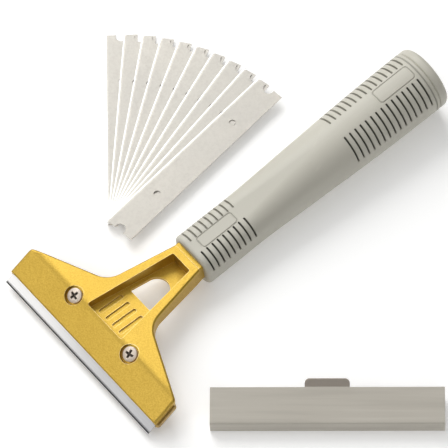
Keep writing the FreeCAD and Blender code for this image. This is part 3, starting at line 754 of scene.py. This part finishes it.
def screw_rings(turn):
    """Rings of a pan-head screw: over the head, down its side and the thread, to the tip."""
    ball = (SCREW_RADIUS ** 2 + SCREW_CROWN ** 2) / (2 * SCREW_CROWN)
    rings = []

    def ring(radius, height, patterned=False, painted_shade=0.0):
        points = []
        for index in range(SCREW_POINTS):
            angle = 2 * math.pi * index / SCREW_POINTS
            x, y = radius * math.cos(angle), radius * math.sin(angle)
            share = 0.0
            if patterned:
                ahead = x * math.cos(turn) + y * math.sin(turn)
                aside = y * math.cos(turn) - x * math.sin(turn)
                share = cross_share(ahead, aside)
            points.append((x, y, height - share * CROSS_DEPTH, max(share, painted_shade)))
        rings.append(points)

    rim = SCREW_RIM
    for step in range(1, CROWN_RINGS + 1):
        radius = (SCREW_RADIUS - rim) * step / CROWN_RINGS
        ring(radius, SCREW_RISE - ball + math.sqrt(ball ** 2 - radius ** 2), patterned=True)
    shoulder = SCREW_RISE - ball + math.sqrt(ball ** 2 - (SCREW_RADIUS - rim) ** 2)
    for step in range(1, 7):
        lean = math.radians(15 * step)
        ring(SCREW_RADIUS - rim + rim * math.sin(lean), shoulder - rim * (1 - math.cos(lean)))
    ring(SCREW_RADIUS, 0.12)
    ring(SCREW_RADIUS - 0.12, 0.0)
    # Painted shade under the head and in the thread's valleys.
    ring(SCREW_SHANK_RADIUS, 0.0, painted_shade=0.4)
    turns = int((SCREW_LENGTH - 1.2) / THREAD_PITCH)
    for index in range(turns):
        top = -THREAD_START - index * THREAD_PITCH
        ring(SCREW_SHANK_RADIUS, top)
        ring(SCREW_SHANK_RADIUS, top - THREAD_PITCH * 0.2)
        ring(SCREW_SHANK_RADIUS - THREAD_DEPTH, top - THREAD_PITCH * 0.55, painted_shade=0.3)
    ring(SCREW_SHANK_RADIUS, -THREAD_START - turns * THREAD_PITCH)
    ring(SCREW_SHANK_RADIUS, -SCREW_LENGTH + TIP_CHAMFER)
    ring(SCREW_SHANK_RADIUS - TIP_CHAMFER, -SCREW_LENGTH)
    return rings


def make_screw(side, sign):
    """Clamp screw that stands for its CAD node."""
    rings = screw_rings(math.radians(sign * SCREW_TURN))
    name = "clamp_screw_" + side
    mesh = ring_mesh(name + "_turned", rings, screw_axes("screw_%s_turn" % side), looped=False)
    shade(mesh, 40.0)
    stand_for(new_piece(name + "_turned", mesh), name, NICKEL)


# ---------------------------------------------------------------- softened CAD nodes

def refined(node, width):
    """Copy of a CAD node whose sharp edges are softened, for the light to catch."""
    mesh = bpy.data.meshes.new(node + "_soft")
    work = bmesh.new()
    work.from_mesh(nodes[node].data)
    bmesh.ops.remove_doubles(work, verts=work.verts, dist=MERGE * MM)
    bmesh.ops.dissolve_limit(
        work, angle_limit=math.radians(0.4), verts=work.verts, edges=work.edges)
    for face in work.faces:
        face.smooth = True
    work.to_mesh(mesh)
    work.free()
    mesh.materials.clear()
    piece = new_piece(node + "_soft", mesh)
    bevel = piece.modifiers.new("soft_edges", "BEVEL")
    bevel.width = width * MM
    bevel.segments = BEVEL_SEGMENTS
    bevel.limit_method = "ANGLE"
    bevel.angle_limit = math.radians(BEVEL_ANGLE)
    bevel.use_clamp_overlap = True
    bevel.miter_outer = "MITER_ARC"
    even = piece.modifiers.new("even_normals", "WEIGHTED_NORMAL")
    even.mode = "FACE_AREA"
    even.weight = 50
    even.keep_sharp = True
    depsgraph = bpy.context.evaluated_depsgraph_get()
    final = bpy.data.meshes.new_from_object(piece.evaluated_get(depsgraph))
    piece.modifiers.clear()
    piece.data = final
    return piece


def even_top(mesh):
    """Exact normals on the head's top, whose long thin faces would otherwise shade unevenly."""
    to_tool = HANDLE.inverted()
    turn = to_tool.to_3x3().normalized()
    back = turn.inverted()

    def skin_normal(point):
        """Direction square to the head's top at a point, in the tool's axes."""
        part = ((to_tool @ point).y - CREASE_STATION) / CREASE_RADIUS
        lean = math.degrees(math.asin(max(-1.0, min(1.0, part))))
        lean = math.radians(max(-FRONT_LEAN, min(-REAR_LEAN, lean)))
        return Vector((0, math.sin(lean), math.cos(lean)))

    normals = [corner.vector.copy() for corner in mesh.corner_normals]
    for face in mesh.polygons:
        if (turn @ face.normal).angle(skin_normal(face.center)) < math.radians(EVEN_WITHIN):
            for index in face.loop_indices:
                point = mesh.vertices[mesh.loops[index].vertex_index].co
                normals[index] = back @ skin_normal(point)
    mesh.normals_split_custom_set(normals)


# ---------------------------------------------------------------- the object

GOLD = gold_paint()
PLATE = plate_paint()
NICKEL = nickel()
HANDLE_PLASTIC = handle_plastic()
GUARD_PLASTIC = guard_plastic()
INNER = inner_steel()

handle_mesh = ring_mesh("handle_moulding", handle_rings(), HANDLE)
shade(handle_mesh, 50.0)
handle_piece = new_piece("handle_moulding", handle_mesh)
stand_for(handle_piece, "handle_grip", HANDLE_PLASTIC)

SOFTENED = (
    ("head_casting", 0.3, GOLD, "gold_paint"),
    ("clamp_plate", 0.25, PLATE, "plate_steel"),
    ("end_cap", 0.2, HANDLE_PLASTIC, "handle_plastic"),
    ("blade_guard", 0.3, GUARD_PLASTIC, "guard_plastic"),
)
for node, width, material, slot_name in SOFTENED:
    piece = refined(node, width)
    if node == "head_casting":
        even_top(piece.data)
    stand_for(piece, node, material)
make_screw("left", -1)
make_screw("right", 1)

KEPT = {"blade": blade_steel(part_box("blade")[0].y), "handle_screw": INNER, "handle_washer": INNER}
for name in nodes:
    if name.startswith("spare_blade"):
        KEPT[name] = spare_steel(name)
for name, material in KEPT.items():
    nodes[name].data.materials.clear()
    nodes[name].data.materials.append(material)


# ---------------------------------------------------------------- stage, light and camera

def make_floor():
    """Wide pale floor under the tool."""
    mesh = bpy.data.meshes.new("floor")
    half = FLOOR_HALF
    corners = [(-half, -half, 0), (half, -half, 0), (half, half, 0), (-half, half, 0)]
    mesh.from_pydata(corners, [], [(0, 1, 2, 3)])
    floor = new_piece("floor", mesh)
    mesh.materials.append(floor_paper())


def add_softbox(name, direction, distance, size, power, target):
    """Square area light that faces the target from a direction."""
    data = bpy.data.lights.new(name, "AREA")
    data.shape = "RECTANGLE"
    data.size, data.size_y = size
    data.energy = power
    light = bpy.data.objects.new(name, data)
    bpy.context.scene.collection.objects.link(light)
    away = Vector(direction).normalized()
    light.location = target + away * distance
    light.rotation_euler = away.to_track_quat("Z", "Y").to_euler()


def add_camera():
    """Long lens above the tool's right-hand side, rolled so that the handle points up and right."""
    data = bpy.data.cameras.new("camera")
    data.sensor_width = SENSOR
    data.lens = LENS * SENSOR
    data.clip_start = 0.05
    data.clip_end = 50.0
    camera = bpy.data.objects.new("camera", data)
    bpy.context.scene.collection.objects.link(camera)
    right = turned(0.6452, 0.7606, -0.0725)
    back = turned(0.3834, -0.2402, 0.8918)
    up = back.cross(right).normalized()
    right = up.cross(back).normalized()
    turn = Matrix((right, up, back)).transposed().to_4x4()
    camera.matrix_world = Matrix.Translation(place(663.4, -395.8, 1553.7)) @ turn
    bpy.context.scene.camera = camera


def add_world():
    """Soft white surroundings, dimmer towards the horizon."""
    world = bpy.data.worlds.new("soft_world")
    world.use_nodes = True
    tree = world.node_tree
    place_node = tree.nodes.new("ShaderNodeTexCoord")
    split = tree.nodes.new("ShaderNodeSeparateXYZ")
    tree.links.new(place_node.outputs["Generated"], split.inputs[0])
    ramp = tree.nodes.new("ShaderNodeMapRange")
    tree.links.new(split.outputs["Z"], ramp.inputs["Value"])
    for name, number in (
            ("From Min", -0.1), ("From Max", 0.8), ("To Min", 0.22), ("To Max", 0.58)):
        ramp.inputs[name].default_value = number
    tree.links.new(ramp.outputs["Result"], tree.nodes["Background"].inputs["Strength"])
    bpy.context.scene.world = world


make_floor()
middle = (cad_box[0] + cad_box[1]) / 2
for name, direction, distance, size, power in LIGHTS:
    add_softbox(name, direction, distance, size, power, middle)
add_world()
bpy.context.scene.view_settings.view_transform = "Standard"
add_camera()
